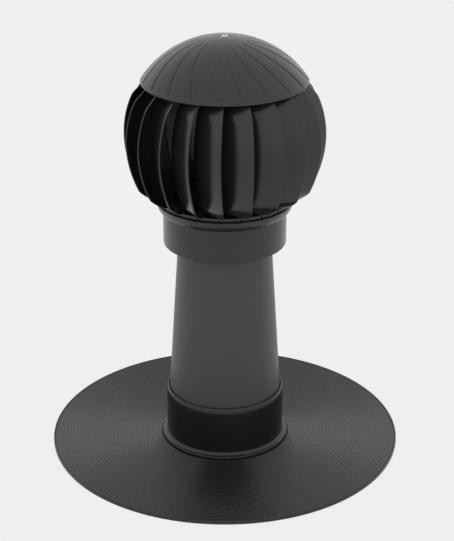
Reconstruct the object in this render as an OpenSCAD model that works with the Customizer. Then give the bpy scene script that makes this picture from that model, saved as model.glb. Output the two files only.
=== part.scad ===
// Rotary roof ventilator cap: a wind-driven ball-shaped rotor on a tapered outlet pipe,
// which stands in a ribbed round roof flashing. Millimetres, +Z up.
// The origin is on the rotor's axis, on the underside of the flashing.

/* [Roof flashing] */
// Diameter of the ribbed flange
flange_d = 483; // [400:1:600]
// Thickness of the flange, ribs included
flange_t = 5; // [4:0.5:8]
// Radius of the flange's upper edge
flange_edge_r = 1.5; // [0.5:0.1:2]
// Distance from one concentric rib to the next
rib_pitch = 4.45; // [4:0.05:8]
// Height of a rib over the groove beside it
rib_h = 0.9; // [0.4:0.1:1.5]
// Outside diameter of the upstand
upstand_d = 162; // [161:0.5:190]
// Height of the upstand's lip over the roof
upstand_h = 79; // [74:1:110]
// Height over which the lip curves inward
lip_h = 9; // [4:0.5:12]
// Distance that the lip curves inward
lip_in = 1.8; // [0.8:0.1:2]
// Width of the foot ring around the upstand
foot_ring_w = 6.5; // [3:0.5:12]
// Height of the foot ring over the flange
foot_ring_h = 3.5; // [1:0.5:6]
// Thickness of the inner ledge that the pipe stands on
ledge_t = 6; // [4:0.5:10]

/* [Outlet pipe] */
// Outside diameter of the straight foot
pipe_foot_d = 154.4; // [140:0.2:156]
// Height of the straight foot
pipe_foot_h = 64; // [50:1:80]
// Height of the tapered length
pipe_taper_h = 226; // [120:1:400]
// Outside diameter of the straight top
pipe_top_d = 126; // [100:1:136]
// Height of the straight top
pipe_top_h = 38.4; // [30:0.2:60]
// Wall of the pipe
pipe_wall = 2; // [1.5:0.1:3]

/* [Head base] */
// Outside diameter of the collar
collar_d = 165; // [160:0.5:180]
// Height of the collar below the pipe's top edge
collar_h = 39.2; // [34:0.2:60]
// Wall of the collar
collar_wall = 2.5; // [2:0.1:4]
// Outside diameter of the flared rim
flare_d = 184.8; // [180:0.2:200]
// Height of the flared rim over the pipe's top edge
flare_h = 21.6; // [19:0.2:30]
// Height of the flare's foot over the pipe's top edge
flare_lift = 6; // [4:0.2:8]
// Width of the ledge at the flare's foot
flare_ledge = 2.5; // [1.5:0.1:3.5]
// Width of the rim's flat top
rim_w = 4.2; // [3:0.1:6]
// Thickness of the plate over the pipe's top
plate_t = 3; // [2:0.5:5]
// Wall of the socket ring around the pipe's top
socket_wall = 3; // [2:0.5:4]
// Number of snap tongues, each with a web below it
tongue_count = 6; // [4:1:8]
// Width of a snap tongue
tongue_w = 7; // [5:0.5:12]
// Width of the slit on each side of a tongue
slit_w = 0.9; // [0.6:0.1:1.5]
// Azimuth of the first tongue, counted from the front
tongue_azimuth = -26; // [-60:1:60]

/* [Rotor] */
// Diameter of the ball that the blades' outer edges lie on
rotor_d = 266; // [250:1:290]
// Running gap between the base's rim and the rotor ring
rotor_gap = 2; // [1:0.5:4]
// Diameter of the dome's own ball
cap_ball_d = 264.8; // [250:0.2:290]
// Height of the dome's rim over the ball's centre
cap_rim_h = 74.2; // [65:0.2:85]
// Wall of the dome
cap_wall = 2.5; // [2:0.1:4]
// Number of blades and of swirl grooves
blade_count = 20; // [12:1:24]
// Thickness of a blade
blade_t = 2; // [1.2:0.1:3]
// Length of a blade's arc in plan, at the ball's equator
blade_arc = 50; // [40:1:60]
// Radius of a blade's arc in plan, at the ball's equator
blade_plan_r = 200; // [120:1:300]
// Angle between a blade and the ball's skin at its outer edge
blade_pitch = 37; // [30:1:50]
// Azimuth of the first blade's outer edge, counted from the front
blade_azimuth = -2.2; // [-18:0.1:18]
// Angle by which a blade's two ends lead its middle
blade_lead = 1.5; // [0:0.1:3]
// Radius that a blade's outer edge reaches at its foot
blade_foot_r = 93.4; // [90:0.1:100]
// Height of the ball's centre over the blades' feet
ball_lift = 82.2; // [78:0.1:90]
// Distance that the outer edges bulge past the ball, just over the toe
blade_belly = 2.4; // [0:0.1:3]
// Height over which an outer edge turns in to its foot
toe_h = 14.5; // [12:0.5:24]
// Height below the dome's rim at which an outer edge leaves the ball
chamfer_h = 18; // [10:0.5:25]
// Distance between the dome's inner wall and the outer edges under its rim
tuck_gap = 2.5; // [1.5:0.1:4]
// Outside diameter of the rotor ring
ring_d = 182; // [176:1:186]
// Thickness of the rotor ring
ring_t = 3.8; // [2:0.1:5]
// Distance that the rotor ring reaches inward past the blades' feet
ring_lap = 3; // [2:0.5:6]
// Width of a notch in the rotor ring
notch_w = 1.8; // [1:0.1:3]
// Depth of a notch in the rotor ring
notch_depth = 3; // [1:0.5:5]

/* [Swirl grooves] */
// Plan radius at which a groove ends, inside the dome's rim
groove_out_r = 107.6; // [100:0.2:108]
// Plan radius at which a groove starts, near the top
groove_in_r = 30; // [24:1:40]
// Angle that a groove sweeps between its two ends
groove_sweep = 20; // [10:1:30]
// Width of a groove at its outer end
groove_w = 5; // [3:0.2:6]
// Depth of a groove at its outer end
groove_depth = 1.5; // [0.8:0.1:1.6]
// Depth of a groove at its inner end
groove_in_depth = 0.5; // [0.3:0.1:0.8]
// Azimuth of the first groove's outer end, counted from the front
groove_azimuth = -4.5; // [-18:0.1:18]

/* [Shaft and bearings] */
// Diameter of the shaft in the bearings
shaft_d = 8; // [8:0.5:10]
// Diameter of the shaft between the upper bearing and the dome's boss
shaft_body_d = 11; // [11:0.5:12]
// Outside diameter of a ball bearing
bearing_d = 22; // [22:1:26]
// Width of a ball bearing
bearing_w = 7; // [6:0.5:8]
// Diameter of a bearing's balls
ball_d = 3.97; // [3.5:0.01:4.2]
// Number of balls in a bearing
ball_count = 7; // [6:1:8]
// Distance between the two bearings' lower faces
bearing_span = 92; // [60:1:120]
// Diameter of the dome's boss
boss_d = 26; // [22:1:34]
// Height of the boss below the dome's top
boss_h = 22; // [16:1:30]
// Diameter of the washer on the dome's top
washer_d = 14; // [12:0.5:18]
// Thickness of that washer
washer_t = 1.2; // [0.8:0.1:2]
// Diameter of the cap screw's head
cap_screw_head_d = 9.5; // [8:0.5:11]
// Diameter of the cap screw's shank
cap_screw_d = 5; // [4:0.5:5.5]

/* [Bearing bracket] */
// Wall of the hub tube around the bearings
hub_wall = 4; // [3:0.5:6]
// Number of arms
arm_count = 4; // [3:1:4]
// Width of an arm
arm_w = 14; // [12:1:18]
// Thickness of an arm
arm_t = 4; // [3:0.5:6]
// Thickness of the gusset on an arm
gusset_t = 3; // [2:0.5:5]
// Height that a gusset reaches up the hub
gusset_h = 60; // [30:1:80]
// Radius of the circle that the bracket screws lie on
bracket_screw_r = 71; // [70:0.5:72]
// Diameter of a bracket screw's shank
bracket_screw_d = 4; // [3:0.5:5]

/* [Hidden] */
$fn = 96;
fit_gap = 0.3; // clearance of pieces that seat in or on each other
press_gap = 0.02; // clearance of a bearing's ring on its seat
ball_gap = 0.1; // clearance of a ball in its groove
over = 1; // how far a cut runs past the face that it opens

// The pipe stands on the flashing's ledge
pipe_foot_r = pipe_foot_d / 2;
pipe_top_r = pipe_top_d / 2;
pipe_z = ledge_t;
taper_z = pipe_z + pipe_foot_h;
straight_z = taper_z + pipe_taper_h;
pipe_top_z = straight_z + pipe_top_h;

// The flashing's upstand takes the pipe's foot, and its mouth takes the seal
upstand_r = upstand_d / 2;
upstand_bore_r = pipe_foot_r + fit_gap;
seal_t = 1.2;
seal_h = 15;
seal_drop = 2.5; // how far the seal lies below the lip
seal_r = upstand_bore_r + seal_t;
seal_z = upstand_h - seal_drop - seal_h;
ledge_w = 1.5;
foot_r = upstand_r + foot_ring_w;
rib_zone_r = foot_r + 0.7;
rib_count = floor((flange_d / 2 - flange_edge_r - rib_zone_r) / rib_pitch);

// The head base's plate sits on the pipe's top edge, a little below the foot of its flare
seat_z = pipe_top_z;
collar_r = collar_d / 2;
collar_z = seat_z - collar_h;
flare_r = flare_d / 2;
flare_z = seat_z + flare_lift;
ledge_rise = 1.5;
rim_z = seat_z + flare_h;
plate_z = seat_z + plate_t;
socket_r = pipe_top_r + fit_gap + socket_wall;
socket_z = collar_z + 4;
web_t = 2.5;
web_z = socket_z + 4;
air_r = pipe_top_r - pipe_wall;
screw_boss_r = bracket_screw_d;
screw_boss_h = 16;

// The rotor runs over the base's rim
ring_z = rim_z + rotor_gap;
blade_z = ring_z + ring_t;
ball_z = blade_z + ball_lift;
rotor_r = rotor_d / 2;
cap_r = cap_ball_d / 2;
cap_in_r = cap_r - cap_wall;
cap_top_z = ball_z + cap_r;
rim_plan_r = sqrt(cap_in_r ^ 2 - cap_rim_h ^ 2);
blade_tuck_r = rim_plan_r - tuck_gap;
blade_tuck_z = ball_z + cap_rim_h;
blade_chamfer_z = blade_tuck_z - chamfer_h;
blade_toe_z = blade_z + toe_h;
toe_curve = 0.7; // 1 is a straight toe, less is a rounder one
blade_turn = blade_arc / blade_plan_r * 180 / PI;
blade_scale = norm(plan_point(blade_turn)) / rotor_r; // inner edge's share of the outer radius
ring_in_r = blade_foot_r * blade_scale - ring_lap;

// The bearings stand one over the other in the hub
bearing_r = bearing_d / 2;
shaft_r = shaft_d / 2;
pitch_r = (bearing_r + shaft_r) / 2;
ball_r = ball_d / 2;
ring_land = 1.45; // half the gap between a bearing's two rings
hub_r = bearing_r + hub_wall;
hub_z = plate_z;
lower_bearing_z = hub_z + 0.6;
upper_bearing_z = lower_bearing_z + bearing_span;
bearing_zs = [lower_bearing_z, upper_bearing_z];
hub_top_z = upper_bearing_z + bearing_w + 1;
circlip_t = 1;
circlip_z = lower_bearing_z - circlip_t;
shaft_z = circlip_z - 2.5;
boss_z = cap_top_z - boss_h;
recess_r = washer_d / 2 + 0.5;
recess_z = cap_top_z - 2.4;

bearing_names = ["lower", "upper"];
function joined(ends) = [for (n = bearing_names) str(n, ends)];
blade_names = [for (i = [1:blade_count]) str("blade_", i < 10 ? "0" : "", i)];

// Points of an elliptic arc between two angles
function arc(c, rx, rz, a0, a1, n) =
    [for (i = [0:n]) let (a = a0 + (a1 - a0) * i / n) [c[0] + rx * cos(a), c[1] + rz * sin(a)]];

// One rib and the groove inside it, from its outer edge inward
function rib(r) = [
    [r, flange_t - rib_h],
    [r - 0.2 * rib_pitch, flange_t],
    [r - 0.5 * rib_pitch, flange_t],
    [r - 0.7 * rib_pitch, flange_t - rib_h]];

// Radius of the outer edges' ball at a height, with the bulge of its lower half
function ball_r_at(z) = sqrt(rotor_r ^ 2 - (z - ball_z) ^ 2)
    + blade_belly * (max(0, ball_z - z) / (ball_z - blade_toe_z)) ^ 3;

// Radius of the blades' outer edges at a height: the ball, cut back at the foot and under the dome
function edge_r_at(z) =
    z >= blade_tuck_z ? blade_tuck_r :
    z > blade_chamfer_z ?
        ball_r_at(blade_chamfer_z)
        - (ball_r_at(blade_chamfer_z) - blade_tuck_r) * (z - blade_chamfer_z) / (blade_tuck_z - blade_chamfer_z) :
    z < blade_toe_z ?
        blade_foot_r + (ball_r_at(blade_toe_z) - blade_foot_r) * ((z - blade_z) / toe_h) ^ toe_curve :
    ball_r_at(z);

// A blade's arc in plan at the equator: its outer edge lies in front, its inner edge clockwise of it
function plan_point(turn) = [
    blade_plan_r * (sin(blade_pitch) - sin(blade_pitch + turn)),
    -(rotor_r - blade_plan_r * cos(blade_pitch) + blade_plan_r * cos(blade_pitch + turn))];
function plan_normal(turn) = [-sin(blade_pitch + turn), -cos(blade_pitch + turn)];

// A point of a blade: side 0 is its outer face and side 1 its inner face
function blade_point(turn, v, side) = let (
    top_r = blade_tuck_r * norm(plan_point(turn)) / rotor_r,
    top_z = ball_z + sqrt((cap_in_r - fit_gap) ^ 2 - top_r ^ 2),
    z = blade_z + (top_z - blade_z) * v,
    p = plan_point(turn) * edge_r_at(z) / rotor_r - plan_normal(turn) * blade_t * side,
    lead = blade_lead * ((z - ball_z) / ball_lift) ^ 2)
    [p[0] * cos(lead) - p[1] * sin(lead), p[0] * sin(lead) + p[1] * cos(lead), z];

// A point on the dome's ball, at a plan radius and an azimuth, from the ball's centre
function dome_point(r, a) = [r * sin(a), -r * cos(a), sqrt(cap_r ^ 2 - r ^ 2)];
function unit(v) = v / norm(v);

module roof_flashing() {
    edge_r = flange_d / 2;
    ring_top_z = flange_t + foot_ring_h;
    fillet_r = foot_ring_w - 1.5;
    color([0.13, 0.13, 0.14]) rotate_extrude() polygon(concat(
        [[upstand_bore_r - ledge_w, 0], [edge_r, 0]],
        arc([edge_r - flange_edge_r, flange_t - flange_edge_r], flange_edge_r, flange_edge_r, 0, 90, 4),
        [for (i = [rib_count - 1:-1:0]) each rib(rib_zone_r + (i + 1) * rib_pitch)],
        [[foot_r, flange_t - rib_h], [foot_r, ring_top_z - 0.8], [foot_r - 0.8, ring_top_z]],
        arc([upstand_r + fillet_r, ring_top_z + fillet_r], fillet_r, fillet_r, 270, 180, 5),
        arc([upstand_r - lip_in, upstand_h - lip_h], lip_in, lip_h, 0, 90, 8),
        [[seal_r, upstand_h], [seal_r, seal_z], [upstand_bore_r, seal_z], [upstand_bore_r, ledge_t],
         [upstand_bore_r - ledge_w, ledge_t]]));
}

// Outer radius of the pipe at a height in its foot or taper
function pipe_r_at(z) = pipe_foot_r - (pipe_foot_r - pipe_top_r) * max(0, z - taper_z) / pipe_taper_h;

module pipe_seal() {
    top_z = seal_z + seal_h;
    slack = 0.1;
    color([0.04, 0.04, 0.04]) rotate_extrude() polygon([
        [pipe_r_at(seal_z) + slack, seal_z], [seal_r - slack, seal_z], [seal_r - slack, top_z],
        [pipe_r_at(top_z) + slack, top_z], [pipe_foot_r + slack, max(taper_z, seal_z)]]);
}

module outlet_pipe() {
    color([0.42, 0.42, 0.43]) rotate_extrude() polygon([
        [pipe_foot_r - pipe_wall, pipe_z], [pipe_foot_r, pipe_z], [pipe_foot_r, taper_z],
        [pipe_top_r, straight_z], [pipe_top_r, pipe_top_z],
        [air_r, pipe_top_z], [air_r, straight_z], [pipe_foot_r - pipe_wall, taper_z]]);
}

// Where the screws of the bearing bracket stand
module at_arms() {
    for (i = [0:arm_count - 1]) rotate([0, 0, i * 360 / arm_count]) children();
}

module head_base() {
    steps = 8;
    bevel = 0.7;
    ledge_z = flare_z + ledge_rise;
    flare = concat([[collar_r, flare_z]], [for (i = [0:steps]) let (t = i / steps)
        [collar_r + flare_ledge + (flare_r - collar_r - flare_ledge) * t ^ 0.55,
         ledge_z + (rim_z - bevel - ledge_z) * t]]);
    slit_z = ledge_z + 0.6;
    color([0.25, 0.25, 0.26]) difference() {
        union() {
            rotate_extrude() polygon(concat(
                [[collar_r - collar_wall, seat_z], [collar_r - collar_wall, collar_z], [collar_r - 1, collar_z],
                 [collar_r, collar_z + 1]],
                flare,
                [[flare_r - bevel, rim_z], [flare_r - rim_w, rim_z]],
                [for (i = [steps:-1:0]) [flare[i][0] - rim_w, flare[i][1]]],
                [[collar_r - rim_w, plate_z], [air_r, plate_z], [air_r, seat_z], [socket_r - socket_wall, seat_z],
                 [socket_r - socket_wall, socket_z], [socket_r, socket_z], [socket_r, seat_z]]));
            for (i = [0:tongue_count - 1]) rotate([0, 0, tongue_azimuth + i * 360 / tongue_count])
                translate([-web_t / 2, -collar_r + collar_wall / 2, web_z])
                    cube([web_t, collar_r - collar_wall / 2 - socket_r + socket_wall / 2, seat_z - web_z + 1]);
            at_arms() translate([0, -bracket_screw_r, seat_z - screw_boss_h])
                cylinder(r = screw_boss_r, h = screw_boss_h + 1);
        }
        for (i = [0:tongue_count - 1], side = [-1, 1]) rotate([0, 0, tongue_azimuth + i * 360 / tongue_count])
            translate([side * tongue_w / 2 - slit_w / 2, -flare_r - over, slit_z])
                cube([slit_w, flare_r - collar_r + rim_w + 2 * over, rim_z - slit_z + over]);
        at_arms() translate([0, -bracket_screw_r, seat_z - screw_boss_h - over])
            cylinder(d = bracket_screw_d - 0.4, h = screw_boss_h + plate_t + 2 * over);
    }
}

module bearing_bracket() {
    seat_r = bearing_r + press_gap;
    core_r = bearing_r - 2;
    color([0.2, 0.2, 0.21]) difference() {
        union() {
            translate([0, 0, hub_z]) cylinder(r = hub_r, h = hub_top_z - hub_z);
            at_arms() {
                translate([-arm_w / 2, -bracket_screw_r, hub_z]) cube([arm_w, bracket_screw_r, arm_t]);
                translate([0, -bracket_screw_r, hub_z]) cylinder(d = arm_w * 0.8, h = arm_t);
                translate([-gusset_t / 2, 0, hub_z]) rotate([90, 0, 90]) linear_extrude(gusset_t)
                    polygon([[-(bracket_screw_r - arm_w * 0.8), 1], [-(bracket_screw_r - arm_w * 0.8), arm_t + 1],
                        [-hub_r, gusset_h], [-core_r - 1, gusset_h], [-core_r - 1, 1]]);
            }
        }
        translate([0, 0, hub_z - over]) cylinder(r = core_r, h = hub_top_z - hub_z + 2 * over);
        translate([0, 0, hub_z - over]) cylinder(r = seat_r, h = lower_bearing_z + bearing_w - hub_z + over);
        translate([0, 0, upper_bearing_z]) cylinder(r = seat_r, h = hub_top_z - upper_bearing_z + over);
        at_arms() translate([0, -bracket_screw_r, hub_z - over])
            cylinder(d = bracket_screw_d + fit_gap, h = arm_t + 2 * over);
    }
}

module bracket_screws() {
    head_h = 2.4;
    color([0.7, 0.7, 0.72]) at_arms() translate([0, -bracket_screw_r, hub_z + arm_t]) difference() {
        union() {
            cylinder(d = 2 * bracket_screw_d, h = head_h);
            translate([0, 0, -arm_t - 10]) cylinder(d = bracket_screw_d - 0.5, h = arm_t + 10);
        }
        for (turn = [0, 90]) rotate([0, 0, turn]) translate([-0.5, -2, head_h - 1.2]) cube([1, 4, 1.2 + over]);
    }
}

// The two rings of a bearing share one ball groove
module ball_groove(z) {
    translate([0, 0, z + bearing_w / 2]) rotate_extrude() translate([pitch_r, 0]) circle(r = ball_r + ball_gap);
}

module tube(r, bore_r, z, h) {
    translate([0, 0, z]) difference() {
        cylinder(r = r, h = h);
        translate([0, 0, -over]) cylinder(r = bore_r, h = h + 2 * over);
    }
}

module bearing_outer_ring(z) {
    color([0.75, 0.75, 0.77]) difference() {
        tube(bearing_r, pitch_r + ring_land, z, bearing_w);
        ball_groove(z);
    }
}

module bearing_inner_ring(z) {
    color([0.75, 0.75, 0.77]) difference() {
        tube(pitch_r - ring_land, shaft_r + press_gap, z, bearing_w);
        ball_groove(z);
    }
}

module bearing_balls(z) {
    color([0.85, 0.85, 0.87]) for (i = [0:ball_count - 1]) rotate([0, 0, i * 360 / ball_count])
        translate([0, -pitch_r, z + bearing_w / 2]) sphere(r = ball_r);
}

module bearing_cage(z) {
    cage_h = ball_d + 1;
    color([0.6, 0.5, 0.3]) difference() {
        tube(pitch_r + 0.6, pitch_r - 0.6, z + (bearing_w - cage_h) / 2, cage_h);
        for (i = [0:ball_count - 1]) rotate([0, 0, i * 360 / ball_count])
            translate([0, 0, z + bearing_w / 2]) rotate([90, 0, 0]) cylinder(r = ball_r + ball_gap, h = bearing_r);
    }
}

module shaft() {
    shoulder_z = upper_bearing_z + bearing_w;
    screw_depth = 14;
    color([0.7, 0.7, 0.72]) difference() {
        union() {
            translate([0, 0, shaft_z]) cylinder(r = shaft_r, h = recess_z - fit_gap - shaft_z);
            translate([0, 0, shoulder_z]) cylinder(d = shaft_body_d, h = boss_z - shoulder_z);
        }
        translate([0, 0, recess_z - screw_depth]) cylinder(d = cap_screw_d, h = screw_depth + over);
        tube(shaft_r + over, shaft_r - 0.8, circlip_z, circlip_t);
    }
}

module bearing_spacer() {
    z = lower_bearing_z + bearing_w;
    color([0.6, 0.6, 0.62]) tube(shaft_r + 1.8, shaft_r + 0.1, z, upper_bearing_z - z);
}

module shaft_circlip() {
    gap_w = 3;
    color([0.3, 0.3, 0.32]) difference() {
        tube(shaft_r + 1.8, shaft_r - 0.8 + 0.1, circlip_z, circlip_t);
        translate([-gap_w / 2, -shaft_r - 3, circlip_z - over]) cube([gap_w, shaft_r + 3, circlip_t + 2 * over]);
    }
}

// A V-shaped channel along a circle on the dome's ball, shallower toward the top
module swirl_groove() {
    outer = dome_point(groove_out_r, 0);
    middle_r = (groove_in_r + groove_out_r) / 2;
    middle = dome_point(middle_r, -groove_sweep * 0.52);
    inner = dome_point(groove_in_r, -groove_sweep);
    axis = unit(cross(middle - inner, outer - inner));
    tilt = acos(axis[2]);
    swing = atan2(axis[1], axis[0]);
    offset_h = axis * inner;
    ring_r = sqrt(cap_r ^ 2 - offset_h ^ 2);
    out_dir = [ring_r, offset_h] / cap_r;
    side_dir = [-offset_h, ring_r] / cap_r;
    mouth_w = groove_w / 2 * (groove_depth + over) / groove_depth;
    rise_dir = unit(unit(inner) - unit(outer) * (unit(inner) * unit(outer)));
    rise = rise_dir * (groove_depth - groove_in_depth) / (rise_dir * unit(inner));
    start = turn_about(inner, tilt, swing);
    span = turn_about(outer, tilt, swing) - start;
    translate(rise) rotate([0, tilt, swing]) rotate([0, 0, start]) rotate_extrude(angle = span) polygon([
        out_dir * (cap_r - groove_depth),
        out_dir * (cap_r + over) - side_dir * mouth_w,
        out_dir * (cap_r + over) + side_dir * mouth_w]);
}

// Angle of a point around a tilted axis
function turn_about(p, tilt, swing) = atan2(
    -sin(swing) * p[0] + cos(swing) * p[1],
    cos(tilt) * cos(swing) * p[0] + cos(tilt) * sin(swing) * p[1] - sin(tilt) * p[2]);

module rotor_cap() {
    color([0.27, 0.27, 0.28]) difference() {
        union() {
            difference() {
                translate([0, 0, ball_z]) sphere(r = cap_r);
                translate([0, 0, ball_z]) sphere(r = cap_in_r);
                translate([0, 0, ball_z - cap_r - over])
                    cylinder(r = cap_r + over, h = cap_r + cap_rim_h + over);
            }
            translate([0, 0, boss_z]) cylinder(d = boss_d, h = boss_h - 2.5);
        }
        translate([0, 0, boss_z - over]) cylinder(r = shaft_r + press_gap, h = boss_h + 2 * over);
        translate([0, 0, recess_z]) cylinder(r = recess_r, h = boss_h);
        translate([0, 0, ball_z]) for (i = [0:blade_count - 1])
            rotate([0, 0, groove_azimuth + i * 360 / blade_count]) swirl_groove();
    }
}

module cap_washer() {
    color([0.8, 0.8, 0.82]) tube(washer_d / 2, cap_screw_d / 2 + fit_gap, recess_z, washer_t);
}

module cap_screw() {
    head_h = 2;
    hex_w = 4;
    color([0.8, 0.8, 0.82]) translate([0, 0, recess_z + washer_t]) difference() {
        union() {
            cylinder(d = cap_screw_head_d, h = head_h);
            translate([0, 0, -washer_t - 12]) cylinder(d = cap_screw_d - 0.1, h = washer_t + 12);
        }
        translate([0, 0, head_h - 1.2]) cylinder(d = hex_w, h = 1.2 + over, $fn = 6);
    }
}

module rotor_ring() {
    color([0.27, 0.27, 0.28]) difference() {
        tube(ring_d / 2, ring_in_r, ring_z, ring_t);
        for (i = [0:blade_count - 1]) rotate([0, 0, groove_azimuth + i * 360 / blade_count])
            translate([-notch_w / 2, -ring_d / 2 - over, ring_z - over])
                cube([notch_w, notch_depth + over, ring_t + 2 * over]);
    }
}

// A blade is a grid of points on each of its two faces, closed along its four edges
module blade(number) {
    across = 6;
    up = 14;
    row = across + 1;
    sheet = row * (up + 1);
    function at(side, i, j) = side * sheet + i * row + j;
    function pair(a, b, c, d) = [[a, b, c], [a, c, d]];
    points = [for (side = [0, 1], i = [0:up], j = [0:across])
        blade_point(blade_turn * j / across, (1 - cos(180 * i / up)) / 2, side)];
    faces = concat(
        [for (i = [0:up - 1], j = [0:across - 1])
            each pair(at(0, i, j), at(0, i, j + 1), at(0, i + 1, j + 1), at(0, i + 1, j))],
        [for (i = [0:up - 1], j = [0:across - 1])
            each pair(at(1, i, j), at(1, i + 1, j), at(1, i + 1, j + 1), at(1, i, j + 1))],
        [for (i = [0:up - 1]) each pair(at(0, i, 0), at(0, i + 1, 0), at(1, i + 1, 0), at(1, i, 0))],
        [for (i = [0:up - 1])
            each pair(at(0, i, across), at(1, i, across), at(1, i + 1, across), at(0, i + 1, across))],
        [for (j = [0:across - 1]) each pair(at(0, 0, j), at(1, 0, j), at(1, 0, j + 1), at(0, 0, j + 1))],
        [for (j = [0:across - 1]) each pair(at(0, up, j), at(0, up, j + 1), at(1, up, j + 1), at(1, up, j))]);
    color([0.24, 0.24, 0.25]) rotate([0, 0, blade_azimuth + number * 360 / blade_count])
        polyhedron(points = points, faces = faces);
}

roof_flashing();
pipe_seal();
outlet_pipe();
head_base();
bearing_bracket();
bracket_screws();
for (i = [0, 1]) {
    bearing_outer_ring(bearing_zs[i]);
    bearing_inner_ring(bearing_zs[i]);
    bearing_balls(bearing_zs[i]);
    bearing_cage(bearing_zs[i]);
}
shaft();
bearing_spacer();
shaft_circlip();
rotor_cap();
cap_washer();
cap_screw();
rotor_ring();
for (i = [0:blade_count - 1]) {
    blade(i);
}
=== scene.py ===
import math

import bmesh
import bpy
from mathutils import Matrix, Vector


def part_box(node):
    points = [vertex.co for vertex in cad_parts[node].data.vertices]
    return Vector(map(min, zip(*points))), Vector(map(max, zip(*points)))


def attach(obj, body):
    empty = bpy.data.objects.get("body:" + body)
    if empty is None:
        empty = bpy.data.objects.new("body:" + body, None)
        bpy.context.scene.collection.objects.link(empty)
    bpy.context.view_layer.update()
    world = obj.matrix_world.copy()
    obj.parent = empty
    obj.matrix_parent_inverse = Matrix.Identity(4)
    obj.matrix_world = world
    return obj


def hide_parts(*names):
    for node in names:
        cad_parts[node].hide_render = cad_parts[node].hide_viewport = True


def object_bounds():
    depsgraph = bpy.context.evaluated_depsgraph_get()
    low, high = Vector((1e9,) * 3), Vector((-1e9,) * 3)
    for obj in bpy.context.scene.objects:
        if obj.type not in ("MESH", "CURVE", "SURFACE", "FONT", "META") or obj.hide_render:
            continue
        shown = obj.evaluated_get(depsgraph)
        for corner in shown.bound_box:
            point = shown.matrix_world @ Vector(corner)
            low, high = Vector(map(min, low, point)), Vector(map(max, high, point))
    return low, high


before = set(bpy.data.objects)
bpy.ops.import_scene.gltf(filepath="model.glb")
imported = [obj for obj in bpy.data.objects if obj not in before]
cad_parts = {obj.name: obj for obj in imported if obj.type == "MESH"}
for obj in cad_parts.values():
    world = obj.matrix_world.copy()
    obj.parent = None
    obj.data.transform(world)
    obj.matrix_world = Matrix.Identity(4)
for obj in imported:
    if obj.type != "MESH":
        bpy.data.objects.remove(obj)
cadBox = [list(corner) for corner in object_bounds()]
scene = bpy.context.scene
scene.view_settings.view_transform = "Standard"
print("frame loaded:", len(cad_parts), "nodes")

# Camera: a long lens, a little over head height of the dome, on the front (-Y) side
cameraSettings = {
    "place": (0.00293, -1.985, 1.131),
    "pitchDown": 23.94,
    "lens": 106.47,
    "sensor": 36.0,
}


def makeCamera(s):
    data = bpy.data.cameras.new("studioCamera")
    data.sensor_fit = "AUTO"
    data.sensor_width = s["sensor"]
    data.lens = s["lens"]
    data.clip_start = 0.05
    data.clip_end = 50
    camera = bpy.data.objects.new("studioCamera", data)
    camera.location = s["place"]
    camera.rotation_euler = (math.radians(90 - s["pitchDown"]), 0, 0)
    scene.collection.objects.link(camera)
    scene.camera = camera


makeCamera(cameraSettings)

# Studio: pale floor, a world that shows white behind the object, and soft boxes
studio = {
    "floorSize": 12.0,
    "floorColor": 0.82,
    "floorGlow": 0.8,       # how far the camera sees the floor as plain white
    "worldFill": 0.42,      # what the world gives to matte surfaces
    "worldShown": 1.0,      # what the camera and glossy surfaces see
}
# azimuth from the front toward +X, distance, height of the middle, width, height, radiance
softBoxes = [
    {"name": "leftBox", "azimuth": -51, "away": 1.6, "z": 0.98, "width": 0.60, "height": 1.25, "glow": 7.0},
    {"name": "rightBox", "azimuth": 31, "away": 1.6, "z": 0.98, "width": 0.56, "height": 1.25, "glow": 4.5},
]


def shaderTree(owner):
    owner.use_nodes = True
    tree = owner.node_tree
    tree.nodes.clear()
    return tree


def seenDirectly(tree):
    # 1 for camera, glossy and transmission rays, 0 for the rest
    path = tree.nodes.new("ShaderNodeLightPath")
    first = tree.nodes.new("ShaderNodeMath")
    first.operation = "MAXIMUM"
    second = tree.nodes.new("ShaderNodeMath")
    second.operation = "MAXIMUM"
    tree.links.new(path.outputs["Is Camera Ray"], first.inputs[0])
    tree.links.new(path.outputs["Is Glossy Ray"], first.inputs[1])
    tree.links.new(first.outputs[0], second.inputs[0])
    tree.links.new(path.outputs["Is Transmission Ray"], second.inputs[1])
    return second.outputs[0]


def makeWorld(s):
    world = bpy.data.worlds.new("studioWorld")
    scene.world = world
    tree = shaderTree(world)
    out = tree.nodes.new("ShaderNodeOutputWorld")
    mix = tree.nodes.new("ShaderNodeMixShader")
    fill = tree.nodes.new("ShaderNodeBackground")
    fill.inputs["Strength"].default_value = s["worldFill"]
    shown = tree.nodes.new("ShaderNodeBackground")
    shown.inputs["Strength"].default_value = s["worldShown"]
    for node in (fill, shown):
        node.inputs["Color"].default_value = (1, 1, 1, 1)
    tree.links.new(seenDirectly(tree), mix.inputs["Fac"])
    tree.links.new(fill.outputs[0], mix.inputs[1])
    tree.links.new(shown.outputs[0], mix.inputs[2])
    tree.links.new(mix.outputs[0], out.inputs["Surface"])


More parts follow.
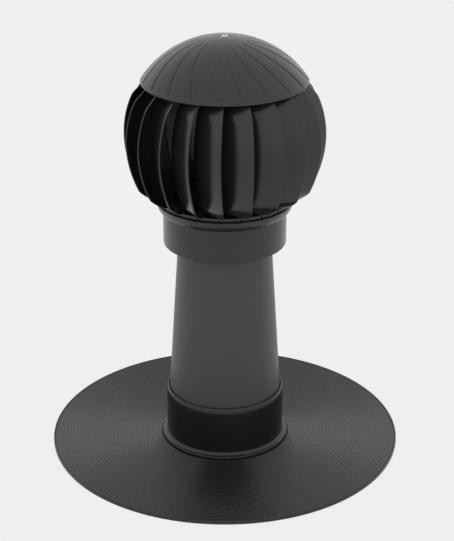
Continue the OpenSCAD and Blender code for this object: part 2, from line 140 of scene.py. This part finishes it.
def makeFloor(s):
    bm = bmesh.new()
    bmesh.ops.create_grid(bm, x_segments=1, y_segments=1, size=s["floorSize"] / 2)
    bmesh.ops.translate(bm, verts=bm.verts, vec=(0, 0, cadBox[0][2] - 0.0003))
    mesh = bpy.data.meshes.new("floor")
    bm.to_mesh(mesh)
    bm.free()
    floor = bpy.data.objects.new("floor", mesh)
    scene.collection.objects.link(floor)
    material = bpy.data.materials.new("paleFloor")
    tree = shaderTree(material)
    out = tree.nodes.new("ShaderNodeOutputMaterial")
    mix = tree.nodes.new("ShaderNodeMixShader")
    matte = tree.nodes.new("ShaderNodeBsdfDiffuse")
    matte.inputs["Color"].default_value = (s["floorColor"],) * 3 + (1,)
    glow = tree.nodes.new("ShaderNodeEmission")
    share = tree.nodes.new("ShaderNodeMath")
    share.operation = "MULTIPLY"
    share.inputs[1].default_value = s["floorGlow"]
    tree.links.new(seenDirectly(tree), share.inputs[0])
    tree.links.new(share.outputs[0], mix.inputs["Fac"])
    tree.links.new(matte.outputs[0], mix.inputs[1])
    tree.links.new(glow.outputs[0], mix.inputs[2])
    tree.links.new(mix.outputs[0], out.inputs["Surface"])
    mesh.materials.append(material)


def makeSoftBox(s):
    turn = math.radians(s["azimuth"])
    data = bpy.data.lights.new(s["name"], "AREA")
    data.shape = "RECTANGLE"
    data.size = s["width"]
    data.size_y = s["height"]
    data.energy = s["glow"] * math.pi * s["width"] * s["height"]
    light = bpy.data.objects.new(s["name"], data)
    light.location = (s["away"] * math.sin(turn), -s["away"] * math.cos(turn), s["z"])
    light.rotation_euler = (math.radians(90), 0, turn + math.pi)
    light.visible_camera = False
    scene.collection.objects.link(light)


makeWorld(studio)
makeFloor(studio)
for box in softBoxes:
    makeSoftBox(box)
print("studio ready")

# Materials


def groupSocket(group, name, direction, kind, default=None):
    socket = group.interface.new_socket(name=name, in_out=direction, socket_type="NodeSocket" + kind)
    if default is not None:
        socket.default_value = default
    return socket


def makeSkinGroup():
    # Moulded plastic: slow tone drift, a fine grain, and a roughness that follows both
    group = bpy.data.node_groups.new("mouldedSkin", "ShaderNodeTree")
    groupSocket(group, "Dark", "INPUT", "Color", (0.02, 0.02, 0.02, 1))
    groupSocket(group, "Light", "INPUT", "Color", (0.03, 0.03, 0.03, 1))
    groupSocket(group, "Grain Scale", "INPUT", "Float", 2200.0)
    groupSocket(group, "Roughness", "INPUT", "Float", 0.35)
    groupSocket(group, "Spread", "INPUT", "Float", 0.06)
    groupSocket(group, "Color", "OUTPUT", "Color")
    groupSocket(group, "Roughness", "OUTPUT", "Float")
    groupSocket(group, "Height", "OUTPUT", "Float")
    nodes = group.nodes
    links = group.links
    given = nodes.new("NodeGroupInput")
    result = nodes.new("NodeGroupOutput")
    place = nodes.new("ShaderNodeTexCoord")
    drift = nodes.new("ShaderNodeTexNoise")
    drift.inputs["Scale"].default_value = 14.0
    drift.inputs["Detail"].default_value = 4.0
    grain = nodes.new("ShaderNodeTexNoise")
    grain.inputs["Detail"].default_value = 3.0
    links.new(place.outputs["Object"], drift.inputs["Vector"])
    links.new(place.outputs["Object"], grain.inputs["Vector"])
    links.new(given.outputs["Grain Scale"], grain.inputs["Scale"])
    tone = nodes.new("ShaderNodeMix")
    tone.data_type = "RGBA"
    links.new(drift.outputs["Fac"], tone.inputs["Factor"])
    links.new(given.outputs["Dark"], tone.inputs["A"])
    links.new(given.outputs["Light"], tone.inputs["B"])
    links.new(tone.outputs["Result"], result.inputs["Color"])
    both = nodes.new("ShaderNodeMath")
    both.operation = "ADD"
    links.new(drift.outputs["Fac"], both.inputs[0])
    links.new(grain.outputs["Fac"], both.inputs[1])
    middle = nodes.new("ShaderNodeMath")
    middle.operation = "SUBTRACT"
    middle.inputs[1].default_value = 1.0
    links.new(both.outputs[0], middle.inputs[0])
    spread = nodes.new("ShaderNodeMath")
    spread.operation = "MULTIPLY_ADD"
    links.new(middle.outputs[0], spread.inputs[0])
    links.new(given.outputs["Spread"], spread.inputs[1])
    links.new(given.outputs["Roughness"], spread.inputs[2])
    links.new(spread.outputs[0], result.inputs["Roughness"])
    links.new(grain.outputs["Fac"], result.inputs["Height"])
    return group


skinGroup = makeSkinGroup()


def mouldedPlastic(name, dark, light, roughness, spread=0.06, grainScale=2200.0, grainDepth=0.00004, coat=0.0):
    material = bpy.data.materials.new(name)
    tree = shaderTree(material)
    out = tree.nodes.new("ShaderNodeOutputMaterial")
    shader = tree.nodes.new("ShaderNodeBsdfPrincipled")
    shader.inputs["IOR"].default_value = 1.5
    shader.inputs["Coat Weight"].default_value = coat
    skin = tree.nodes.new("ShaderNodeGroup")
    skin.node_tree = skinGroup
    skin.inputs["Dark"].default_value = tuple(dark) + (1,)
    skin.inputs["Light"].default_value = tuple(light) + (1,)
    skin.inputs["Grain Scale"].default_value = grainScale
    skin.inputs["Roughness"].default_value = roughness
    skin.inputs["Spread"].default_value = spread
    bump = tree.nodes.new("ShaderNodeBump")
    bump.inputs["Strength"].default_value = 0.35
    bump.inputs["Distance"].default_value = grainDepth
    tree.links.new(skin.outputs["Color"], shader.inputs["Base Color"])
    tree.links.new(skin.outputs["Roughness"], shader.inputs["Roughness"])
    tree.links.new(skin.outputs["Height"], bump.inputs["Height"])
    tree.links.new(bump.outputs["Normal"], shader.inputs["Normal"])
    tree.links.new(shader.outputs[0], out.inputs["Surface"])
    return material


def turnedMetal(name, color, roughness):
    # Lathe marks: rings around the axis, a few to the millimetre
    material = bpy.data.materials.new(name)
    tree = shaderTree(material)
    out = tree.nodes.new("ShaderNodeOutputMaterial")
    shader = tree.nodes.new("ShaderNodeBsdfPrincipled")
    shader.inputs["Base Color"].default_value = tuple(color) + (1,)
    shader.inputs["Metallic"].default_value = 1.0
    place = tree.nodes.new("ShaderNodeTexCoord")
    rings = tree.nodes.new("ShaderNodeTexWave")
    rings.wave_type = "RINGS"
    rings.rings_direction = "Z"
    rings.inputs["Scale"].default_value = 900.0
    rings.inputs["Distortion"].default_value = 1.5
    rings.inputs["Detail"].default_value = 2.0
    spread = tree.nodes.new("ShaderNodeMapRange")
    spread.inputs["To Min"].default_value = roughness - 0.08
    spread.inputs["To Max"].default_value = roughness + 0.08
    bump = tree.nodes.new("ShaderNodeBump")
    bump.inputs["Strength"].default_value = 0.2
    bump.inputs["Distance"].default_value = 0.00003
    tree.links.new(place.outputs["Object"], rings.inputs["Vector"])
    tree.links.new(rings.outputs["Fac"], spread.inputs["Value"])
    tree.links.new(spread.outputs["Result"], shader.inputs["Roughness"])
    tree.links.new(rings.outputs["Fac"], bump.inputs["Height"])
    tree.links.new(bump.outputs["Normal"], shader.inputs["Normal"])
    tree.links.new(shader.outputs[0], out.inputs["Surface"])
    return material


flashingPlastic = mouldedPlastic("flashingPlastic", (0.012, 0.012, 0.013), (0.02, 0.02, 0.021), 0.24, 0.08)
pipePlastic = mouldedPlastic("pipePlastic", (0.085, 0.085, 0.087), (0.10, 0.10, 0.102), 0.42, 0.05, 1600.0)
headPlastic = mouldedPlastic("headPlastic", (0.030, 0.030, 0.031), (0.040, 0.040, 0.041), 0.27, 0.05, 1800.0)
bladePlastic = mouldedPlastic("bladePlastic", (0.026, 0.026, 0.027), (0.034, 0.034, 0.035), 0.24, 0.05, 1800.0)
sealRubber = mouldedPlastic("sealRubber", (0.008, 0.008, 0.008), (0.014, 0.014, 0.014), 0.6, 0.08, 900.0, 0.0001)
bracketPlastic = mouldedPlastic("bracketPlastic", (0.018, 0.018, 0.018), (0.03, 0.03, 0.03), 0.45)
turnedSteel = turnedMetal("turnedSteel", (0.62, 0.62, 0.63), 0.3)
cageBrass = turnedMetal("cageBrass", (0.75, 0.55, 0.25), 0.35)
print("materials ready")

# Shared mesh work


def arcPoints(middle, rx, rz, first, last, count):
    points = []
    for i in range(count + 1):
        turn = math.radians(first + (last - first) * i / count)
        points.append((middle[0] + rx * math.cos(turn), middle[1] + rz * math.sin(turn)))
    return points


def filleted(corners, count=4):
    # corners are (radius, height, fillet); each fillet becomes a short curve
    points = []
    total = len(corners)
    for i, (r, z, fillet) in enumerate(corners):
        here = Vector((r, z))
        if fillet == 0:
            points.append((r, z))
            continue
        before = Vector(corners[i - 1][:2])
        after = Vector(corners[(i + 1) % total][:2])
        start = here + (before - here).normalized() * fillet
        end = here + (after - here).normalized() * fillet
        for k in range(count + 1):
            t = k / count
            p = start * (1 - t) ** 2 + here * 2 * t * (1 - t) + end * t ** 2
            points.append((p.x, p.y))
    return points


def spinProfile(points, steps):
    # A closed outline of (radius, height), turned once around the axis
    bm = bmesh.new()
    verts = [bm.verts.new((0, -r, z)) for r, z in points]
    edges = [bm.edges.new((verts[i - 1], verts[i])) for i in range(len(verts))]
    bmesh.ops.spin(bm, geom=verts + edges, cent=(0, 0, 0), axis=(0, 0, 1), dvec=(0, 0, 0),
                   angle=2 * math.pi, steps=steps, use_merge=True, use_duplicate=False)
    bmesh.ops.remove_doubles(bm, verts=bm.verts, dist=1e-7)
    bmesh.ops.recalc_face_normals(bm, faces=bm.faces)
    return bm


def finishPiece(name, bm, body, material, nodes, sharpAngle=38):
    mesh = bpy.data.meshes.new(name)
    bm.to_mesh(mesh)
    bm.free()
    mesh.polygons.foreach_set("use_smooth", [True] * len(mesh.polygons))
    mesh.set_sharp_from_angle(angle=math.radians(sharpAngle))
    mesh.materials.append(material)
    piece = bpy.data.objects.new(name, mesh)
    scene.collection.objects.link(piece)
    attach(piece, body)
    if nodes:
        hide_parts(*nodes)
    return piece


def carve(piece, cutter):
    # Cuts one mesh out of another and keeps the result as plain mesh
    cut = piece.modifiers.new("cut", "BOOLEAN")
    cut.operation = "DIFFERENCE"
    cut.solver = "EXACT"
    cut.object = cutter
    graph = bpy.context.evaluated_depsgraph_get()
    mesh = bpy.data.meshes.new_from_object(piece.evaluated_get(graph))
    piece.modifiers.remove(cut)
    piece.data = mesh
    bpy.data.objects.remove(cutter)


def cutterObject(bm):
    mesh = bpy.data.meshes.new("cutter")
    bm.to_mesh(mesh)
    bm.free()
    cutter = bpy.data.objects.new("cutter", mesh)
    scene.collection.objects.link(cutter)
    return cutter


def radiusOf(node):
    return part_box(node)[1][0]


def topOf(node):
    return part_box(node)[1][2]


def footOf(node):
    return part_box(node)[0][2]


# Roof flashing: ribbed flange, foot ring, upstand and lip in one moulding
flashing = {
    "steps": 288,
    "thickness": 0.005,
    "edge": 0.0015,
    "ribPitch": 0.00445,
    "ribHeight": 0.0009,
    "ribPoints": 6,
    "upstandRadius": 0.081,
    "boreRadius": 0.0775,
    "sealSeatRadius": 0.0787,
    "sealSeatHeight": 0.0615,
    "ledgeWidth": 0.0015,
    "ledgeHeight": 0.006,
    "footRingWidth": 0.0065,
    "footRingHeight": 0.0035,
    "lipHeight": 0.009,
    "lipIn": 0.0018,
}


def makeFlashing(s):
    edgeR = radiusOf("roof_flashing")
    lipZ = topOf("roof_flashing")
    footR = s["upstandRadius"] + s["footRingWidth"]
    ribStart = footR + 0.0007
    ribCount = math.floor((edgeR - s["edge"] - ribStart) / s["ribPitch"])
    top = s["thickness"]
    low = top - s["ribHeight"]
    points = filleted([(s["boreRadius"] - s["ledgeWidth"], 0, 0.0004), (edgeR, 0, 0.0006),
                       (edgeR, top, s["edge"]), (ribStart, top, 0)], 5)[:-1]
    for k in range(ribCount, 0, -1):
        for j in range(s["ribPoints"]):
            share = j / s["ribPoints"]
            r = ribStart + (k - share) * s["ribPitch"]
            points.append((r, low + s["ribHeight"] * (0.5 - 0.5 * math.cos(2 * math.pi * share)) ** 0.8))
    ringZ = top + s["footRingHeight"]
    fillet = s["footRingWidth"] - 0.0015
    points += [(ribStart, low), (footR, low), (footR, ringZ - 0.0011), (footR - 0.0003, ringZ - 0.0004),
               (footR - 0.0009, ringZ)]
    points += arcPoints((s["upstandRadius"] + fillet, ringZ + fillet), fillet, fillet, 270, 180, 8)
    points += arcPoints((s["upstandRadius"] - s["lipIn"], lipZ - s["lipHeight"]), s["lipIn"], s["lipHeight"], 0, 90, 12)
    points += [(s["sealSeatRadius"], lipZ), (s["sealSeatRadius"], s["sealSeatHeight"]),
               (s["boreRadius"], s["sealSeatHeight"]), (s["boreRadius"], s["ledgeHeight"]),
               (s["boreRadius"] - s["ledgeWidth"], s["ledgeHeight"])]
    bm = spinProfile(points, s["steps"])
    finishPiece("ribbed_flashing", bm, "outlet", flashingPlastic, ["roof_flashing"])


makeFlashing(flashing)
print("flashing made")

# Outlet pipe
outletPipe = {
    "steps": 192,
    "wall": 0.002,
    "footRadius": 0.0772,
    "topRadius": 0.063,
    "taperStart": 0.070,
    "taperEnd": 0.296,
    "edge": 0.0006,
}


def makePipe(s):
    topR = s["topRadius"]
    foot = footOf("outlet_pipe")
    top = topOf("outlet_pipe")
    wall = s["wall"]
    points = filleted([
        (s["footRadius"] - wall, foot, s["edge"]), (s["footRadius"], foot, s["edge"]),
        (s["footRadius"], s["taperStart"], 0.002), (topR, s["taperEnd"], 0.002),
        (topR, top, s["edge"]), (topR - wall, top, s["edge"]),
        (topR - wall, s["taperEnd"], 0.002), (s["footRadius"] - wall, s["taperStart"], 0.002)])
    bm = spinProfile(points, s["steps"])
    finishPiece("tapered_pipe", bm, "outlet", pipePlastic, ["outlet_pipe"])


makePipe(outletPipe)
print("pipe made")

# Head base: collar, flare with snap tongues, plate and socket ring
headBase = {
    "steps": 240,
    "collarRadius": 0.0825,
    "collarWall": 0.0025,
    "seat": 0.3344,         # height of the pipe's top edge, where the plate sits
    "plate": 0.003,
    "flareFoot": 0.3404,
    "ledge": 0.0025,
    "ledgeRise": 0.0015,
    "flareCurve": 0.55,
    "rimWidth": 0.0042,
    "socketRadius": 0.0663,
    "socketWall": 0.003,
    "socketFoot": 0.2992,
    "airRadius": 0.061,
    "tongues": 6,
    "tongueAzimuth": -26,
    "tongueWidth": 0.007,
    "slit": 0.0009,
    "webWidth": 0.0025,
}


def flarePoints(s, rimR, rimZ, count):
    ledgeR = s["collarRadius"] + s["ledge"]
    ledgeZ = s["flareFoot"] + s["ledgeRise"]
    points = [(s["collarRadius"], s["flareFoot"])]
    for i in range(count + 1):
        t = i / count
        points.append((ledgeR + (rimR - ledgeR) * t ** s["flareCurve"], ledgeZ + (rimZ - ledgeZ) * t))
    return points


def makeHeadBase(s):
    rimR = radiusOf("head_base")
    rimZ = topOf("head_base")
    foot = footOf("head_base")
    plateZ = s["seat"] + s["plate"]
    wallR = s["collarRadius"] - s["collarWall"]
    socketInR = s["socketRadius"] - s["socketWall"]
    flare = flarePoints(s, rimR, rimZ - 0.0007, 16)
    corners = [(wallR, s["seat"], 0), (wallR, foot, 0.0006), (s["collarRadius"], foot, 0.0012)]
    corners += [(s["collarRadius"], s["flareFoot"], 0.0004), (flare[1][0], flare[1][1], 0.0004)]
    corners += [(r, z, 0) for r, z in flare[2:]]
    corners += [(rimR - 0.0007, rimZ, 0), (rimR - s["rimWidth"], rimZ, 0.0006)]
    corners += [(r - s["rimWidth"], z, 0) for r, z in flare[-2::-1]]
    corners += [(s["collarRadius"] - s["rimWidth"], plateZ, 0), (s["airRadius"], plateZ, 0.0005),
                (s["airRadius"], s["seat"], 0), (socketInR, s["seat"], 0), (socketInR, s["socketFoot"], 0.0006),
                (s["socketRadius"], s["socketFoot"], 0.0006), (s["socketRadius"], s["seat"], 0)]
    bm = spinProfile(filleted(corners), s["steps"])
    piece = finishPiece("flared_collar", bm, "outlet", headPlastic, ["head_base"])
    slitZ = s["flareFoot"] + s["ledgeRise"] + 0.0006
    slitHeight = rimZ - slitZ + 0.002
    cutter = bmesh.new()
    for i in range(s["tongues"]):
        turn = math.radians(s["tongueAzimuth"] + 360 / s["tongues"] * i)
        for side in (-1, 1):
            made = bmesh.ops.create_cube(cutter, size=1)["verts"]
            bmesh.ops.scale(cutter, vec=(s["slit"], 0.017, slitHeight), verts=made)
            bmesh.ops.translate(cutter, vec=(side * s["tongueWidth"] / 2, -rimR + 0.0066, slitZ + slitHeight / 2),
                                verts=made)
            bmesh.ops.rotate(cutter, cent=(0, 0, 0), matrix=Matrix.Rotation(turn, 3, "Z"), verts=made)
    carve(piece, cutterObject(cutter))
    piece.data.set_sharp_from_angle(angle=math.radians(38))


makeHeadBase(headBase)
print("head base made")

# Rotor: the ball that the blades' outer edges lie on, and the dome's own ball
rotor = {
    "middle": 0.444,
    "radius": 0.133,
    "count": 20,
    "domeRadius": 0.1324,
    "domeWall": 0.0025,
    "domeRim": 0.0742,
}
dome = {
    "columns": 18,          # mesh columns from one groove to the next
    "rings": 64,
    "grooveOut": 0.1076,
    "grooveIn": 0.030,
    "grooveSweep": 20.0,
    "grooveWidth": 0.005,
    "grooveDepth": 0.0015,
    "grooveInDepth": 0.0005,
    "grooveAzimuth": -4.5,
    "recessRadius": 0.0075,
    "recessDepth": 0.0024,
    "bossRadius": 0.013,
    "bossDepth": 0.022,
    "boreRadius": 0.00402,
}


def grooveTurn(s, r):
    # azimuth of a groove's middle at a plan radius, counted from its outer end
    share = (s["grooveOut"] - r) / (s["grooveOut"] - s["grooveIn"])
    return -math.radians(s["grooveSweep"]) * (1.08 * share - 0.08 * share ** 2)


def grooveShare(s, r):
    # 0 outside a groove's length, 1 at its outer end, falling toward the top
    if r > s["grooveOut"] or r < s["grooveIn"]:
        return 0.0
    share = (r - s["grooveIn"]) / (s["grooveOut"] - s["grooveIn"])
    return s["grooveInDepth"] / s["grooveDepth"] + (1 - s["grooveInDepth"] / s["grooveDepth"]) * share


def makeDome(s, ball):
    topZ = ball["middle"] + ball["domeRadius"]
    rimZ = ball["middle"] + ball["domeRim"]
    outerR = ball["domeRadius"]
    innerR = outerR - ball["domeWall"]
    rimTurn = math.acos(ball["domeRim"] / outerR)
    endTurn = math.asin(s["grooveOut"] / outerR)
    recessTurn = math.asin(s["recessRadius"] / outerR)
    turns = [recessTurn + (endTurn - recessTurn) * i / s["rings"] for i in range(s["rings"] + 1)]
    turns += [endTurn + 0.002, endTurn + (rimTurn - endTurn) * 0.5, rimTurn - 0.003]
    points = [(outerR * math.sin(t), ball["middle"] + outerR * math.cos(t)) for t in turns]
    points += [(outerR * math.sin(rimTurn) - 0.0003, rimZ)]
    innerRim = math.acos(ball["domeRim"] / innerR)
    bossTurn = math.asin(s["bossRadius"] / innerR)
    points += [(innerR * math.sin(innerRim) + 0.0002, rimZ)]
    points += [(innerR * math.sin(t), ball["middle"] + innerR * math.cos(t))
               for t in [innerRim + (bossTurn - innerRim) * i / 20 for i in range(21)]]
    points += [(s["bossRadius"], topZ - s["bossDepth"]), (s["boreRadius"], topZ - s["bossDepth"]),
               (s["boreRadius"], topZ - s["recessDepth"]), (s["recessRadius"], topZ - s["recessDepth"])]
    bm = spinProfile(points, s["columns"] * ball["count"])
    pitch = 2 * math.pi / ball["count"]
    middle = Vector((0, 0, ball["middle"]))
    for vert in bm.verts:
        r = math.hypot(vert.co.x, vert.co.y)
        fromBall = vert.co - middle
        if abs(fromBall.length - outerR) > 0.00005 or r < s["recessRadius"] + 0.0001:
            continue
        # columns crowd to the groove: its middle, its two edges and a soft shoulder beside each
        azimuth = math.atan2(vert.co.x, -vert.co.y)
        column = azimuth / pitch
        sector = math.floor(column + 0.5)
        offset = column - sector        # -0.5 to 0.5 of a pitch
        halfGroove = s["grooveWidth"] / 2 / max(r, s["grooveIn"]) / pitch
        shrink = max(grooveShare(s, min(max(r, s["grooveIn"]), s["grooveOut"])), 0.2)
        edge = halfGroove * shrink
        inner = 3 / s["columns"]
        if abs(offset) <= inner:
            placed = offset / inner * edge * 1.15
        else:
            placed = math.copysign(edge * 1.15 + (abs(offset) - inner) / (0.5 - inner) * (0.5 - edge * 1.15), offset)
        depth = s["grooveDepth"] * grooveShare(s, r) * max(0.0, 1 - abs(placed) / edge)
        turn = (sector + placed) * pitch + grooveTurn(s, max(r, s["grooveIn"] * 0.5)) + math.radians(s["grooveAzimuth"])
        flat = Vector((r * math.sin(turn), -r * math.cos(turn), fromBall.z))
        vert.co = middle + flat * ((outerR - depth) / outerR)
    finishPiece("swirl_dome", bm, "rotor", headPlastic, ["rotor_cap"], 30)


makeDome(dome, rotor)
print("dome made")

blade = {
    "across": 14,
    "up": 44,
    "thickness": 0.002,
    "arc": 0.050,
    "planRadius": 0.200,
    "pitch": 37.0,
    "lead": 1.5,
    "azimuth": -2.2,
    "footRadius": 0.0934,
    "belly": 0.0024,
    "toe": 0.0145,
    "toeCurve": 0.7,
    "chamfer": 0.018,
    "tuckGap": 0.0025,
    "topGap": 0.0003,
    "edge": 0.0007,
}


def bladePlan(s, ball, turn):
    pitch = math.radians(s["pitch"])
    return Vector((s["planRadius"] * (math.sin(pitch) - math.sin(pitch + turn)),
                   -(ball["radius"] - s["planRadius"] * math.cos(pitch) + s["planRadius"] * math.cos(pitch + turn))))


def bladeEdgeRadius(s, ball, foot, z):
    innerDome = ball["domeRadius"] - ball["domeWall"]
    tuckR = math.sqrt(innerDome ** 2 - ball["domeRim"] ** 2) - s["tuckGap"]
    tuckZ = ball["middle"] + ball["domeRim"]
    chamferZ = tuckZ - s["chamfer"]
    toeZ = foot + s["toe"]

    def ballRadius(height):
        below = max(0.0, ball["middle"] - height) / (ball["middle"] - toeZ)
        return math.sqrt(ball["radius"] ** 2 - (height - ball["middle"]) ** 2) + s["belly"] * below ** 3

    if z >= tuckZ:
        return tuckR
    if z > chamferZ:
        return ballRadius(chamferZ) - (ballRadius(chamferZ) - tuckR) * (z - chamferZ) / (tuckZ - chamferZ)
    if z < toeZ:
        return s["footRadius"] + (ballRadius(toeZ) - s["footRadius"]) * max(0.0, (z - foot) / s["toe"]) ** s["toeCurve"]
    return ballRadius(z)


def makeBlades(s, ball):
    foot = footOf("blade_01")
    fullTurn = s["arc"] / s["planRadius"]
    innerDome = ball["domeRadius"] - ball["domeWall"]
    tuckR = bladeEdgeRadius(s, ball, foot, ball["middle"] + ball["domeRim"])
    bm = bmesh.new()
    bmesh.ops.create_grid(bm, x_segments=s["across"], y_segments=s["up"], size=0.5)
    inward = {}
    for vert in bm.verts:
        turn = fullTurn * (vert.co.x + 0.5)
        share = (1 - math.cos(math.pi * (vert.co.y + 0.5))) / 2
        plan = bladePlan(s, ball, turn)
        top = ball["middle"] + math.sqrt((innerDome - s["topGap"]) ** 2 - (tuckR * plan.length / ball["radius"]) ** 2)
        z = foot + (top - foot) * share
        plan = plan * bladeEdgeRadius(s, ball, foot, z) / ball["radius"]
        lead = Matrix.Rotation(math.radians(s["lead"]) * ((z - ball["middle"]) / (ball["middle"] - foot)) ** 2, 3, "Z")
        vert.co = lead @ Vector((plan.x, plan.y, z))
        pitch = math.radians(s["pitch"]) + turn
        inward[vert.index] = lead @ Vector((math.sin(pitch), math.cos(pitch), 0)) * s["thickness"]
    bm.verts.ensure_lookup_table()
    outer = list(bm.verts)
    back = bmesh.ops.extrude_face_region(bm, geom=list(bm.faces))["geom"]
    backVerts = [item for item in back if isinstance(item, bmesh.types.BMVert)]
    outerAt = {tuple(round(c, 7) for c in vert.co): inward[vert.index] for vert in outer}
    for vert in backVerts:
        vert.co += outerAt[tuple(round(c, 7) for c in vert.co)]
    bmesh.ops.recalc_face_normals(bm, faces=bm.faces)
    rims = [edge for edge in bm.edges if edge.is_manifold and edge.calc_face_angle(0) > 1.0]
    bmesh.ops.bevel(bm, geom=rims, offset=s["edge"], affect="EDGES", segments=3, profile=0.5, material=-1)
    for i in range(ball["count"]):
        turned = bm.copy()
        turn = math.radians(s["azimuth"]) + 2 * math.pi * i / ball["count"]
        bmesh.ops.rotate(turned, cent=(0, 0, 0), matrix=Matrix.Rotation(turn, 3, "Z"), verts=turned.verts)
        number = f"{i + 1:02d}"
        finishPiece("curved_blade_" + number, turned, "rotor", bladePlastic, ["blade_" + number], 50)
    bm.free()


makeBlades(blade, rotor)
print("blades made")

# What stays as the frame has it, each with its own finish
finishes = {
    "pipe_seal": sealRubber,
    "bearing_bracket": bracketPlastic,
    "rotor_ring": bladePlastic,
    "lower_bearing_cage": cageBrass,
    "upper_bearing_cage": cageBrass,
}


def dressNode(name, node):
    material = finishes.get(name, turnedSteel)
    node.data.materials.clear()
    node.data.materials.append(material)


for nodeName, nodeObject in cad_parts.items():
    dressNode(nodeName, nodeObject)
print("frame nodes dressed")
